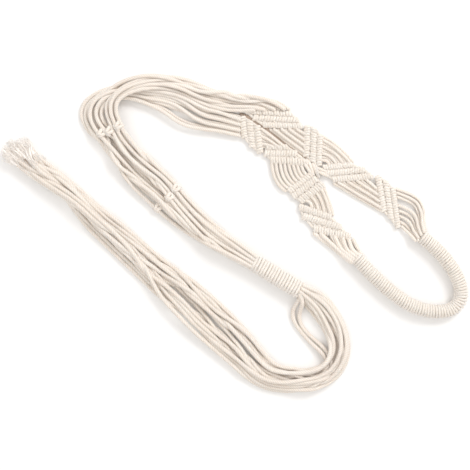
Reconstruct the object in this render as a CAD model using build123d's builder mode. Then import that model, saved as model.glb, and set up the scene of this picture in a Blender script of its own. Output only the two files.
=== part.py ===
"""Hanging macrame planter of natural cotton cord, lying flat on a surface.

A wrapped hanging loop carries two flat knotted straps of eight cords each. Below the straps
the sixteen cords run loose as a cradle for a pot, tied by two rows of square knots, and a
gathering wrap closes the cradle. Below the wrap they hang free as a long tassel.
Millimetres. +Z is up from the surface, and +X runs from the tassel's end to the loop.
"""
import math
import os

from build123d import *

os.makedirs("parts", exist_ok=True)

# Driving dimensions
CORD_D = 3.0             # a loose cotton cord
HELD_D = 2.6             # the same cord pulled tight in the straps and the gathering wrap
FAN_D = 2.2              # the same cord where the fans draw in to the loop's ends
LOOP_CORD_D = 2.5        # the same cord pressed inside the wrapped loop
AIR = 0.12               # between neighbouring cords
CORDS = 8                # cords in each strap
ROW_D = 4.8              # a ridge of double half hitches
LOOP_D = 12.0            # outside of the wrapped loop
LOOP_WRAP_T = 1.7        # thickness of the loop's wrapping
WRAP_LENGTH = 47.0       # gathering wrap, along the cords
WRAP_WIDTH = 15.4        # gathering wrap, across the cords
WRAP_HEIGHT = 13.6       # gathering wrap, off the surface
WRAP_T = 1.4             # thickness of its wall
WRAP_ROUND = 3.2         # rounding of its edges along the cords
KNOT_D = 2.8             # the crossing cord of a square knot
FOLD_GAP = 0.3           # between the cord halves on the two sides of the fold
END_GAP = 0.5            # from a cord's end to the knot that holds it
CENTRE_X = -0.48         # centre of the piece in the coordinates of the layout below
CENTRE_Y = -0.85

ROW_Z = ROW_D / 2
LOOP_Z = LOOP_D / 2

# Layout of the straps: the three ridges of each band, from one end to the other
BAND_ROWS = {
    "upper_band_1": [((119.7, 46.2), (124.7, 17.6)), ((126.4, 42.0), (130.6, 11.8)),
                     ((132.3, 35.3), (136.5, 4.2))],
    "upper_band_2": [((74.8, 54.0), (97.4, 56.4)), ((75.6, 49.1), (107.5, 52.0)),
                     ((82.3, 44.0), (114.2, 46.8))],
    "upper_band_3": [((60.5, 88.2), (59.6, 64.0)), ((66.1, 86.5), (65.2, 59.5)),
                     ((71.4, 80.6), (70.2, 55.8))],
    "upper_band_4": [((21.8, 99.0), (45.4, 98.8)), ((23.5, 93.9), (51.2, 93.7)),
                     ((28.6, 88.7), (54.4, 88.6))],
    "lower_band_1": [((55.0, 20.6), (80.0, 12.6)), ((59.5, 12.6), (87.5, 4.0)),
                     ((67.0, 3.5), (94.2, -2.9))],
    "lower_band_2": [((64.7, 49.0), (45.6, 34.3)), ((67.6, 44.6), (49.0, 30.1)),
                     ((73.0, 39.8), (54.6, 26.0))],
    "lower_band_3": [((26.9, 71.0), (38.6, 71.0)), ((25.2, 65.8), (47.0, 65.9)),
                     ((30.2, 60.6), (58.8, 58.4))],
    "lower_band_4": [((6.7, 94.1), (7.1, 82.3)), ((13.0, 91.6), (13.4, 73.9)),
                     ((19.3, 85.7), (19.7, 74.2))],
}

# The cords between two bands cross each line below from its first point to its second
GAP_LINES = {
    "upper_gap_2": [((83.6, 40.4), (112.1, 43.2)), ((121.6, 18.1), (116.7, 39.2))],
    "upper_gap_3": [((74.5, 79.4), (73.4, 60.2)), ((89.0, 71.8), (76.2, 59.2)),
                    ((97.9, 59.8), (78.6, 57.5))],
    "upper_gap_4": [((30.2, 85.4), (52.5, 85.5)), ((57.2, 65.0), (57.3, 82.6))],
    "lower_gap_2": [((74.6, 37.0), (58.3, 25.0)), ((78.5, 28.6), (59.7, 23.6)),
                    ((81.9, 15.6), (60.4, 21.9))],
    "lower_gap_3": [((30.7, 57.4), (55.9, 55.1)), ((32.3, 44.9), (57.8, 52.1)),
                    ((41.4, 34.9), (58.6, 48.4))],
    "lower_gap_4": [((22.7, 75.3), (22.6, 85.7)), ((27.0, 74.4), (39.1, 74.4))],
}
GAP_CORDS = {"lower_gap_4": 4}      # the other cords of this gap lie under the upper strap
STRAP_JOIN = ((67.6, 58.6), (68.6, 48.2))

# The fans of cords from the last band of each strap to the loop's ends
FAN_LINES = {
    "lower_fan": [((63.8, 0.6), (98.6, -8.0)), ((75.4, -9.6), (101.6, -9.8)),
                  ((84.8, -17.8), (103.4, -12.4)), ((96.4, -25.0), (105.0, -18.0))],
    "upper_fan": [((135.7, 35.7), (140.1, 4.0)), ((149.5, 29.8), (141.3, 2.7)),
                  ((156.7, 19.3), (143.3, 0.9)), ((157.6, 8.2), (146.0, -1.7)),
                  ((158.8, 1.7), (149.9, -6.7))],
}

# The wrapped loop, from the lower strap to the upper one, and the line it folds about
LOOP_ROUTE = [(101.6, -21.8), (110.0, -31.1), (118.4, -39.5), (126.8, -47.0), (136.1, -54.6),
              (145.3, -60.5), (155.4, -64.7), (165.5, -66.4), (176.4, -66.4), (184.8, -62.2),
              (189.0, -54.6), (188.2, -44.5), (184.8, -36.1), (178.9, -26.9), (171.4, -17.6),
              (163.2, -10.0), (155.4, -3.4)]
FOLD_START = (92.4, -15.1)
FOLD_END = (148.7, 5.0)
FOLD_Z = 5.0

# The cradle's cords, from the straps to the gathering wrap. Each line is where eight cords
# cross: its first end is the outer side of the bend. The third value lifts them all, and
# a fourth gives uneven places along the line.
UPPER_CRADLE = [
    ((45.4, 102.8), (15.6, 102.0), 0.9),
    ((35.4, 110.9), (11.0, 103.0), 0.5),
    ((14.0, 113.3), (0.5, 104.6), 0.0),
    ((-5.0, 117.6), (-10.5, 103.9), 0.0),
    ((-24.4, 121.4), (-26.9, 106.7), 0.0),
    ((-44.5, 128.9), (-47.0, 117.6), 1.0),
    ((-62.2, 131.5), (-63.0, 120.6), 3.6),
    ((-78.1, 130.6), (-79.0, 118.8), 5.9),
    ((-95.8, 126.0), (-90.7, 114.2), 5.9),
    ((-114.2, 115.1), (-98.7, 108.0), 5.7),
    ((-122.5, 99.0), (-100.4, 99.4), 5.2),
    ((-119.0, 85.4), (-97.3, 92.9), 5.4),
    ((-110.9, 72.4), (-92.6, 84.9), 5.2),
    ((-101.9, 59.6), (-83.4, 73.3), 4.2),
    ((-88.4, 42.1), (-69.6, 59.4), 3.2),
    ((-71.3, 26.7), (-53.3, 44.7), 3.2),
    ((-52.2, 9.9), (-37.0, 25.2), 3.2),
    ((-30.0, -6.0), (-19.5, 7.8), 5.0),
    ((-9.8, -17.3), (-1.9, -4.9), 5.7),
    ((10.7, -28.8), (16.9, -19.7), 6.9),
]
LOWER_CRADLE = [
    ((3.4, 95.2), (3.4, 80.6), 0.0),
    ((-10.9, 100.0), (-11.8, 84.2), 0.0),
    ((-26.9, 103.2), (-27.7, 85.7), 0.0, (0.0, 0.12, 0.24, 0.36, 0.48, 0.6, 0.86, 1.0)),
    ((-44.5, 114.4), (-45.4, 89.9), 0.0, (0.0, 0.09, 0.18, 0.27, 0.36, 0.45, 0.86, 1.0)),
    ((-58.8, 117.2), (-59.6, 101.2), 0.0, (0.0, 0.1, 0.2, 0.3, 0.4, 0.51, 0.76, 1.0)),
    ((-72.2, 118.4), (-73.1, 107.4), 0.0),
    ((-87.4, 121.4), (-84.8, 110.4), 0.0),
    ((-105.0, 121.0), (-96.4, 110.4), 0.0),
    ((-120.1, 111.0), (-104.6, 106.2), 0.0, (-0.35, 0.0, 0.16, 0.33, 0.5, 0.67, 0.84, 1.0)),
    ((-125.2, 100.0), (-107.6, 99.0), 0.0, (-0.38, 0.0, 0.16, 0.33, 0.5, 0.67, 0.84, 1.0)),
    ((-122.0, 87.0), (-104.2, 91.0), 0.0, (-0.25, 0.0, 0.16, 0.33, 0.5, 0.67, 0.84, 1.0)),
    ((-111.8, 72.0), (-97.0, 83.4), 0.0),
    ((-102.7, 58.8), (-85.8, 72.4), 0.0),
    ((-89.5, 40.9), (-71.2, 58.7), 0.0),
    ((-72.3, 25.6), (-54.8, 43.8), 0.0),
    ((-53.4, 8.5), (-38.4, 24.9), 0.0),
    ((-30.9, -7.4), (-20.4, 7.0), 0.0),
    ((-9.8, -17.8), (-1.9, -5.4), 0.3),
    ((10.7, -28.8), (16.9, -19.7), 1.2),
]

# The tassel's cords, from the gathering wrap to their frayed ends
LOWER_TASSEL = [
    ((53.0, -54.6), (59.2, -45.5), 1.2),
    ((60.6, -64.0), (73.0, -51.3), 0.2),
    ((69.4, -76.4), (85.5, -66.1), 0.0),
    ((75.9, -89.1), (93.4, -83.6), 0.0),
    ((77.4, -99.0), (95.6, -101.6), 0.0),
    ((74.3, -107.1), (88.1, -118.9), 0.0),
    ((66.2, -112.6), (72.8, -129.4), 0.0),
    ((53.9, -114.8), (55.3, -132.4), 0.0),
    ((40.8, -113.9), (38.1, -133.2), 0.0),
    ((31.0, -110.2), (19.4, -129.2), 0.0),
    ((21.7, -98.6), (3.5, -116.5), 0.0),
    ((10.2, -83.9), (-10.2, -104.3), 0.0),
    ((-3.0, -70.3), (-23.9, -92.6), 0.0),
    ((-15.5, -58.6), (-36.6, -80.8), 0.0),
    ((-29.8, -46.0), (-49.2, -67.4), 0.0),
    ((-45.3, -34.4), (-62.2, -54.7), 0.0),
    ((-62.2, -22.8), (-77.2, -40.2), 0.0),
    ((-78.2, -9.0), (-93.1, -25.4), 0.0),
    ((-94.5, 5.4), (-108.8, -10.4), 0.0),
    ((-109.7, 16.6), (-122.5, 3.2), 0.0),
    ((-124.4, 30.8), (-136.0, 18.9), 0.0),
    ((-140.7, 46.5), (-151.6, 33.3), 0.0),
    ((-156.3, 58.7), (-167.9, 42.9), 0.0),
    ((-171.8, 71.5), (-184.4, 55.3), 0.0),
    ((-184.8, 81.9), (-196.2, 65.7), 0.0),
]
TASSEL_LIFT = (6.9, 5.1, 4.6, 4.8, 4.9, 5.1, 5.1, 5.1, 4.7, 3.2, 3.2, 3.2, 3.2, 3.2, 3.2,
               3.2, 3.2, 3.2, 3.8, 5.0, 5.3, 5.0, 4.6, 4.4, 4.4)
# The first two upper cords leave the others for a loop of their own beside the wrap
STRAY_TASSEL = [  # x, y and z
    [(54.0, -55.3, 8.4), (51.4, -59.6, 6.4), (47.9, -65.8, 3.0), (48.4, -74.4, 1.8), (53.4, -83.4, 3.2),
     (61.2, -91.4, 7.6), (69.2, -98.2, 11.2), (75.4, -104.6, 12.0), (77.6, -112.0, 12.0),
     (74.6, -119.0, 12.0), (67.6, -122.6, 12.0), (59.2, -119.8, 11.8), (50.0, -114.9, 9.8)],
    [(54.7, -53.8, 11.2), (56.9, -57.2, 10.8), (54.6, -64.8, 6.0), (53.4, -72.6, 2.4), (56.8, -81.0, 4.0),
     (64.6, -88.4, 8.2), (73.0, -95.2, 11.4), (79.6, -102.2, 12.0), (81.9, -111.0, 12.0),
     (78.6, -120.0, 12.0), (70.2, -125.6, 12.0), (61.4, -124.6, 12.0), (51.9, -119.0, 12.0)],
]
TASSEL_CUT = (9.0, 3.0, 0.0, 5.0, 11.0, 2.0, 7.0, 4.0)

# Square knots: where their crossing cords start and end, and their height
SQUARE_KNOTS = {
    "square_knots_upper": [((-113.9, 84.6), (-108.4, 79.2)), ((-107.4, 86.6), (-101.6, 81.0)),
                           ((-99.2, 90.6), (-94.0, 85.2))],
    "square_knots_lower": [((-67.4, 22.8), (-62.0, 17.6)), ((-59.6, 31.4), (-54.0, 25.6)),
                           ((-52.0, 39.0), (-46.6, 33.6))],
}
SQUARE_KNOT_Z = {"square_knots_upper": 12.2, "square_knots_lower": 8.2}


# Geometry helpers


def between(start, end, share):
    """The point a given share of the way from start to end."""
    return tuple(a + (b - a) * share for a, b in zip(start, end))


def trimmed(route, length, start=True, end=True):
    """The same route, shortened at its ends."""
    route = list(route)
    if start:
        route[0] = between(route[0], route[1], length / math.dist(route[0], route[1]))
    if end:
        route[-1] = between(route[-1], route[-2], length / math.dist(route[-1], route[-2]))
    return route


def places(line, count):
    """Where the cords cross a line, evenly unless the line says otherwise."""
    shares = line[3] if len(line) > 3 else [cord / (count - 1) for cord in range(count)]
    return [between(line[0], line[1], share) for share in shares]


def clear_width(rows, index):
    """The least distance between neighbouring cords, square to their run, at one line."""
    widths = []
    for other in (index - 1, index + 1):
        if 0 <= other < len(rows):
            for cord in range(len(rows[index]) - 1):
                here = Vector(*rows[index][cord])
                run = (Vector(*rows[other][cord]) - here).normalized()
                step = Vector(*rows[index][cord + 1]) - here
                widths.append(abs(step.cross(run).Z))
    return min(widths)


def side_by_side(lines, diameter, middles=None, lifts=None, count=CORDS):
    """Routes of cords that cross each line in turn. Where they crowd, every second rides up."""
    rows = [places(line, count) for line in lines]
    routes = [[] for cord in range(count)]
    for index, row in enumerate(rows):
        ride_up = math.sqrt(max(0.0, (diameter + AIR) ** 2 - clear_width(rows, index) ** 2))
        if middles is None:
            low = diameter / 2 + lifts[index]
        else:
            low = max(diameter / 2, middles[index] - ride_up / 2)
        for cord, (x, y) in enumerate(row):
            routes[cord].append((x, y, low + (cord % 2) * ride_up))
    return routes


def gap_routes(name):
    """Routes of the cords in the gap between two bands of a strap."""
    lines = GAP_LINES[name]
    middles = [ROW_Z] * len(lines)
    routes = side_by_side(lines, HELD_D, middles, count=GAP_CORDS.get(name, CORDS))
    return [trimmed(route, END_GAP) for route in routes]


def fan_routes(name):
    """Routes of the cords from the last band of a strap into the end of the wrapped loop."""
    lines = FAN_LINES[name]
    middles = [ROW_Z] * (len(lines) - 1) + [LOOP_Z]
    routes = side_by_side(lines, HELD_D, middles)
    return [trimmed(route, END_GAP, end=False) for route in routes]


def cradle_routes():
    """Routes of the sixteen loose cords of the cradle, the lower strap's eight first."""
    lower = side_by_side(LOWER_CRADLE, CORD_D, lifts=[line[2] for line in LOWER_CRADLE])
    upper = side_by_side(UPPER_CRADLE, CORD_D, lifts=[line[2] for line in UPPER_CRADLE])
    return lower + upper


def tassel_routes():
    """Routes of the sixteen tassel cords, the lower eight first."""
    lower = side_by_side(LOWER_TASSEL, CORD_D, lifts=[line[2] for line in LOWER_TASSEL])
    upper = side_by_side(LOWER_TASSEL, CORD_D, lifts=TASSEL_LIFT)
    for cord, stray in enumerate(STRAY_TASSEL):
        upper[cord] = stray + upper[cord][8:]
    routes = []
    for cord, route in enumerate(lower + upper):
        cut = TASSEL_CUT[(3 * cord) % len(TASSEL_CUT)]
        routes.append(trimmed(route, cut, start=False) if cut else route)
    return routes


# Solids


def on_surface(point):
    """A layout point moved into the part's own frame."""
    x, y, z = point
    return (x - CENTRE_X, y - CENTRE_Y, z)


def corner_radii(points):
    """Each corner's arc: 0.45 of its shorter run over the tangent of half its turn."""
    radii = []
    for before, corner, after in zip(points, points[1:], points[2:]):
        run_in = Vector(*corner) - Vector(*before)
        run_out = Vector(*after) - Vector(*corner)
        half_turn = math.radians(run_in.get_angle(run_out)) / 2
        radii.append(0.45 * min(run_in.length, run_out.length) / math.tan(half_turn))
    return radii


def cord_tube(name, points, diameter):
    """A round cord along straight runs joined by tangent arcs."""
    points = [on_surface(point) for point in points]
    radii = corner_radii(points)
    with BuildPart() as tube:
        with BuildLine():
            route = FilletPolyline(*points, radius=radii) if radii else Line(*points)
        with BuildSketch(Plane(route @ 0, z_dir=route % 0)):
            Circle(diameter / 2)
        sweep(path=route)
    expected = math.pi * diameter**2 / 4 * route.length
    tightest = min(radii, default=math.inf)
    print(f"{name}: {route.length:.1f} mm long, tightest arc {tightest:.1f} mm,"
          f" volume {tube.part.volume / expected:.3f} of section x length")
    return tube.part


def knot_row(start, end):
    """One ridge of double half hitches, a rounded bar along its holding cord."""
    start = Vector(*on_surface((*start, ROW_Z)))
    end = Vector(*on_surface((*end, ROW_Z)))
    along = (end - start).normalized()
    length = (end - start).length + ROW_D * 0.8
    with BuildPart() as row:
        with BuildSketch(Plane(start - along * ROW_D * 0.4, z_dir=along)):
            Circle(ROW_D / 2)
        extrude(amount=length)
        fillet(row.edges().filter_by(GeomType.CIRCLE), ROW_D * 0.36)
    return row.part


def save(part, name):
    """Label a finished sub-part and write it."""
    part.label = name
    export_step(part, f"parts/{name}.step")


# The eight bands of double half hitches
for name, rows in BAND_ROWS.items():
    ridges = [knot_row(start, end) for start, end in rows]
    with BuildPart() as band:
        add(ridges)
    save(band.part, name)

# The straight cords between the bands
for name in GAP_LINES:
    tubes = [cord_tube(name, route, HELD_D) for route in gap_routes(name)]
    with BuildPart() as gap:
        add(tubes)
    save(gap.part, name)

with BuildPart() as strap_join:
    join_z = ROW_D + HELD_D / 2 + AIR
    join_start, join_end = [on_surface((*point, join_z)) for point in STRAP_JOIN]
    with BuildLine():
        join_line = Line(join_start, join_end)
    with BuildSketch(Plane(join_line @ 0, z_dir=join_line % 0)):
        Circle(HELD_D / 2)
    sweep(path=join_line)
save(strap_join.part, "strap_join")

# The fans, each cut by the plane that the loop folds about
fold_start = Vector(*on_surface((*FOLD_START, FOLD_Z)))
fold_end = Vector(*on_surface((*FOLD_END, FOLD_Z)))
fold_axis = (fold_end - fold_start).normalized()
fold_plane = Plane(fold_start, x_dir=fold_axis, z_dir=fold_axis.cross(Vector(0, 0, 1)))
print("fold axis", fold_axis, "through", fold_start)
for name in FAN_LINES:
    tubes = [cord_tube(name, route, FAN_D) for route in fan_routes(name)]
    for side, keep, shift in (("loop_side", Keep.TOP, FOLD_GAP / 2),
                              ("strap_side", Keep.BOTTOM, -FOLD_GAP / 2)):
        with BuildPart() as fan:
            add(tubes)
            split(bisect_by=fold_plane.offset(shift), keep=keep)
        save(fan.part, f"{name}_{side}")

# The hanging loop: eight cords inside a close wrapping
loop_points = [on_surface((*point, LOOP_Z)) for point in LOOP_ROUTE]
with BuildLine():
    loop_line = FilletPolyline(*loop_points, radius=corner_radii(loop_points))
loop_start = Plane(loop_line @ 0, z_dir=loop_line % 0)
core_circle = (LOOP_CORD_D + AIR / 2) / 2 / math.sin(math.pi / (CORDS - 1))
with BuildPart() as loop_core:
    with BuildSketch(loop_start):
        Circle(LOOP_CORD_D / 2)
        with PolarLocations(core_circle, CORDS - 1):
            Circle(LOOP_CORD_D / 2)
    sweep(path=loop_line)
save(loop_core.part, "loop_core")

with BuildPart() as loop_wrap:
    with BuildSketch(loop_start):
        Circle(LOOP_D / 2)
        Circle(LOOP_D / 2 - LOOP_WRAP_T, mode=Mode.SUBTRACT)
    sweep(path=loop_line)
save(loop_wrap.part, "loop_wrap")

# The loose cords of the cradle, each a piece of its own
for number, route in enumerate(cradle_routes(), 1):
    name = f"cradle_cord_{number:02d}"
    save(cord_tube(name, route, CORD_D), name)

# Square knots: short crossing cords over the bundle
for name, crossings in SQUARE_KNOTS.items():
    height = SQUARE_KNOT_Z[name]
    tubes = []
    for start, end in crossings:
        tubes.append(cord_tube(name, [(*start, height), (*end, height)], KNOT_D))
    with BuildPart() as knots:
        add(tubes)
    save(knots.part, name)

# The gathering wrap round all sixteen cords
mouth_start, mouth_end = LOWER_CRADLE[-1][:2]
tail_start, tail_end = LOWER_TASSEL[0][:2]
mouth = Vector(*on_surface((*between(mouth_start, mouth_end, 0.5), WRAP_HEIGHT / 2)))
tail = Vector(*on_surface((*between(tail_start, tail_end, 0.5), WRAP_HEIGHT / 2)))
wrap_axis = (tail - mouth).normalized()
wrap_centre = (mouth + tail) / 2
wrap_plane = Plane(wrap_centre - wrap_axis * WRAP_LENGTH / 2, x_dir=wrap_axis.cross(Vector(0, 0, 1)),
                   z_dir=wrap_axis)
with BuildPart() as gathering_wrap:
    with BuildSketch(wrap_plane):
        RectangleRounded(WRAP_WIDTH, WRAP_HEIGHT, WRAP_ROUND)
        offset(amount=-WRAP_T, mode=Mode.SUBTRACT)
    extrude(amount=WRAP_LENGTH)
save(gathering_wrap.part, "gathering_wrap")

held_step = (WRAP_WIDTH - 2 * WRAP_T - HELD_D - 2 * AIR) / (CORDS - 1)
held_rise = math.sqrt((HELD_D + AIR) ** 2 - held_step**2)
with BuildPart() as gathered_cords:
    with BuildSketch(wrap_plane):
        for level in range(2):
            for cord in range(CORDS):
                across = (cord - (CORDS - 1) / 2) * held_step
                height = (2 * level + cord % 2 - 1.5) * held_rise
                with Locations((across, height)):
                    Circle(HELD_D / 2)
    extrude(amount=WRAP_LENGTH)
save(gathered_cords.part, "gathered_cords")

# The tassel, each cord a piece of its own
for number, route in enumerate(tassel_routes(), 1):
    name = f"tassel_cord_{number:02d}"
    save(cord_tube(name, route, CORD_D), name)
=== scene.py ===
"""The hanging macrame planter, laid out flat: twisted cotton cords, knotted straps, wrappings and tassel."""

import math
import random

import bpy
import numpy as np
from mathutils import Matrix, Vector
from mathutils.kdtree import KDTree


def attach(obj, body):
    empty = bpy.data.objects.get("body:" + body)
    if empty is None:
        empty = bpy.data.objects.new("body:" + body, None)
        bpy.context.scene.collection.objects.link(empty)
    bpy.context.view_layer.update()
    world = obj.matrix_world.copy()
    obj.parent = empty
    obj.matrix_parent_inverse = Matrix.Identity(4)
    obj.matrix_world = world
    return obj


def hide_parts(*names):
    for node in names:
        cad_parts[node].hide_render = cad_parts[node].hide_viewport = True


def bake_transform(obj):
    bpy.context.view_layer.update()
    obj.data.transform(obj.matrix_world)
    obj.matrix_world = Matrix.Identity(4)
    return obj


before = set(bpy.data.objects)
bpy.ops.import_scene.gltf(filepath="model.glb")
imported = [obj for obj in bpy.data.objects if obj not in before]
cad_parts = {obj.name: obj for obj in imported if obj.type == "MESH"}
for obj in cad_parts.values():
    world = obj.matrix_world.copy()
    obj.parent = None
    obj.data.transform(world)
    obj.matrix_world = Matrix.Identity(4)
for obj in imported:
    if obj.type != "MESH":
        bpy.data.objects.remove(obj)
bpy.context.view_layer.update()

MM = 0.001               # turns the tables' millimetres into metres
CORDS = 8                # cords in each strap
CORD_D = 3.0             # a loose cotton cord, in millimetres like all the sizes in the tables
HELD_D = 2.6             # the same cord held tight in the straps
AIR = 0.12               # between neighbouring cords
CENTRE_X = -0.48         # the part's centre in the coordinates of the layout
CENTRE_Y = -0.85
ROW_Z = 2.4              # middle of a ridge of hitches
LOOP_Z = 6.0             # middle of the wrapped loop
UP = np.array((0.0, 0.0, 1.0))

# The layout. A band's rows run from one end to the other, and the other lines are crossed by
# eight cords each: the first and the last cord's places, then the lift of them all, and the
# cords' shares of the way where they aren't even. Each cord's places on its lines are the
# control points of its NURBS spline.
BAND_ROWS = {
    "upper_band_1": [((119.7, 46.2), (124.7, 17.6)), ((126.4, 42.0), (130.6, 11.8)),
                     ((132.3, 35.3), (136.5, 4.2))],
    "upper_band_2": [((74.8, 54.0), (97.4, 56.4)), ((75.6, 49.1), (107.5, 52.0)),
                     ((82.3, 44.0), (114.2, 46.8))],
    "upper_band_3": [((60.5, 88.2), (59.6, 64.0)), ((66.1, 86.5), (65.2, 59.5)),
                     ((71.4, 80.6), (70.2, 55.8))],
    "upper_band_4": [((9.0, 101.2), (46.4, 98.8)), ((15.6, 95.6), (52.2, 93.7)),
                     ((24.0, 89.8), (55.4, 88.6))],
    "lower_band_1": [((54.4, 20.8), (80.0, 12.6)), ((57.2, 13.3), (87.5, 4.0)),
                     ((66.4, 2.8), (96.0, -4.2))],
    "lower_band_2": [((64.7, 49.0), (45.6, 34.3)), ((67.6, 44.6), (49.0, 30.1)),
                     ((73.0, 39.8), (54.6, 26.0))],
    "lower_band_3": [((26.9, 71.0), (43.6, 71.0)), ((25.2, 65.8), (51.0, 65.9)),
                     ((30.2, 60.6), (60.8, 58.2))],
    "lower_band_4": [((6.2, 96.0), (8.0, 79.2)), ((12.2, 92.8), (14.6, 71.4)),
                     ((18.6, 88.2), (21.0, 66.6))],
}

GAP_LINES = {
    "upper_gap_2": [((83.6, 40.4), (110.6, 43.1)), ((121.6, 18.1), (117.3, 37.2))],
    "upper_gap_3": [((74.5, 79.4), (73.4, 60.2)), ((89.0, 71.8), (78.2, 61.6)),
                    ((97.9, 59.8), (78.6, 57.5))],
    "upper_gap_4": [((30.2, 85.4), (52.5, 85.5)), ((57.2, 65.0), (57.3, 82.6))],
    "lower_gap_2": [((74.6, 37.0), (60.0, 26.3)), ((78.5, 28.6), (65.8, 24.8)),
                    ((81.9, 15.6), (64.6, 20.8))],
    "lower_gap_3": [((30.7, 57.4), (55.9, 55.1)), ((31.0, 41.5), (57.4, 48.9)),
                    ((41.4, 34.9), (58.6, 48.4))],
    "lower_gap_4": [((22.7, 71.0), (22.6, 85.8)), ((26.4, 72.4), (31.0, 79.6)),
                    ((28.0, 71.8), (40.4, 71.8))],
}

GAP_CORDS = {"lower_gap_4": 6}       # the other cords of this gap lie under the upper strap

# The cords that cross and hold each other where the two straps touch
TIE_CORDS = [((57.6, 58.2), (64.8, 47.4)), ((61.2, 60.5), (66.0, 47.5)), ((64.6, 58.0), (70.4, 45.4)),
             ((67.8, 57.0), (69.6, 46.0)), ((66.6, 54.2), (76.5, 50.6)), ((69.0, 51.0), (79.0, 46.4))]

# Where the upper strap lies over the lower one
SEAM = [(3.2, 98.9), (10.0, 96.2), (16.4, 92.0), (22.7, 88.6), (29.4, 84.0), (37.8, 76.9),
        (46.2, 70.1), (54.6, 64.3), (60.4, 59.6)]

FAN_LINES = {
    "lower_fan": [((66.8, -1.2), (99.6, -7.4), 0, (0.0, 0.17, 0.44, 0.52, 0.66, 0.72, 1.0, 0.87)),
                  ((80.6, -12.4), (102.4, -12.6), 0, (0.0, 0.11, 0.2, 0.28, 0.46, 0.53, 1.0, 0.75)),
                  ((89.4, -19.4), (104.8, -17.0), 0, (0.0, 0.07, 0.14, 0.24, 0.38, 0.48, 1.0, 0.72)),
                  ((96.4, -25.0), (105.0, -18.0), 0, (0.0, 0.1, 0.2, 0.33, 0.46, 0.58, 1.0, 0.8))],
    "upper_fan": [((136.0, 35.7), (140.1, 4.0), 0, (0.0, 0.1, 0.21, 0.43, 0.58, 0.72, 0.88, 1.0)),
                  ((151.5, 31.0), (141.3, 2.7), 0, (0.0, 0.1, 0.2, 0.44, 0.58, 0.72, 0.88, 1.0)),
                  ((158.2, 19.8), (143.3, 0.9), 0, (0.0, 0.13, 0.26, 0.42, 0.56, 0.71, 0.87, 1.0)),
                  ((157.8, 8.2), (146.0, -1.7)), ((158.8, 1.7), (149.9, -6.7))],
}

# The wrapped loop, from the lower strap to the upper one
LOOP_ROUTE = [(101.6, -21.8), (110.0, -31.1), (118.4, -39.5), (126.8, -47.0), (136.1, -54.6),
              (145.3, -60.5), (155.4, -64.7), (165.5, -66.4), (176.4, -66.4), (184.8, -62.2),
              (189.0, -54.6), (188.2, -44.5), (184.8, -36.1), (178.9, -26.9), (171.4, -17.6),
              (163.2, -10.0), (155.4, -3.4)]

UPPER_CRADLE = [
    ((45.4, 102.8), (15.6, 102.0), 0.9),
    ((35.4, 110.9), (9.0, 101.4), 0.5),
    ((14.0, 113.3), (-0.5, 101.9), 0.0),
    ((-5.0, 117.6), (-10.8, 102.7), 0.0),
    ((-24.4, 121.4), (-26.9, 106.7), 0.0),
    ((-44.5, 128.9), (-47.0, 117.6), 1.0),
    ((-62.2, 131.5), (-63.0, 120.6), 3.6),
    ((-78.1, 130.6), (-79.0, 118.8), 5.9),
    ((-95.8, 126.0), (-90.7, 114.2), 5.9),
    ((-114.2, 115.1), (-98.7, 108.0), 5.7),
    ((-122.5, 99.0), (-100.4, 99.4), 5.2),
    ((-119.0, 85.4), (-97.3, 92.9), 5.4),
    ((-110.9, 72.4), (-92.6, 84.9), 5.2),
    ((-101.9, 59.6), (-83.4, 73.3), 4.2),
    ((-88.4, 42.1), (-69.6, 59.4), 3.2),
    ((-71.3, 26.7), (-53.3, 44.7), 3.2),
    ((-52.2, 9.9), (-37.0, 25.2), 3.2),
    ((-30.0, -6.0), (-19.5, 7.8), 5.0),
    ((-9.8, -17.3), (-1.9, -4.9), 5.7),
    ((10.7, -28.8), (16.9, -19.7), 6.9),
]

LOWER_CRADLE = [
    ((3.4, 96.6), (3.4, 80.6), 0.0),
    ((-10.9, 101.4), (-11.8, 84.2), 0.0),
    ((-26.9, 103.2), (-27.7, 85.7), 0.0, (0.0, 0.12, 0.24, 0.36, 0.48, 0.6, 0.86, 1.0)),
    ((-44.5, 114.4), (-45.4, 89.9), 0.0, (0.0, 0.09, 0.18, 0.27, 0.36, 0.45, 0.86, 1.0)),
    ((-58.8, 117.2), (-59.6, 101.2), 0.0, (0.0, 0.1, 0.2, 0.3, 0.4, 0.51, 0.76, 1.0)),
    ((-72.2, 118.4), (-73.1, 107.4), 0.0),
    ((-87.4, 121.4), (-84.8, 110.4), 0.0),
    ((-105.0, 121.0), (-96.4, 110.4), 0.0),
    ((-120.1, 111.0), (-104.6, 106.2), 0.0, (-0.35, 0.0, 0.16, 0.33, 0.5, 0.67, 0.84, 1.0)),
    ((-125.2, 100.0), (-107.6, 99.0), 0.0, (-0.38, 0.0, 0.16, 0.33, 0.5, 0.67, 0.84, 1.0)),
    ((-122.0, 87.0), (-104.2, 91.0), 0.0, (-0.25, 0.0, 0.16, 0.33, 0.5, 0.67, 0.84, 1.0)),
    ((-111.8, 72.0), (-97.0, 83.4), 0.0),
    ((-102.7, 58.8), (-85.8, 72.4), 0.0),
    ((-89.5, 40.9), (-71.2, 58.7), 0.0),
    ((-72.3, 25.6), (-54.8, 43.8), 0.0),
    ((-53.4, 8.5), (-38.4, 24.9), 0.0),
    ((-30.9, -7.4), (-20.4, 7.0), 0.0),
    ((-9.8, -17.8), (-1.9, -5.4), 0.3),
    ((10.7, -28.8), (16.9, -19.7), 1.2),
]

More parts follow.
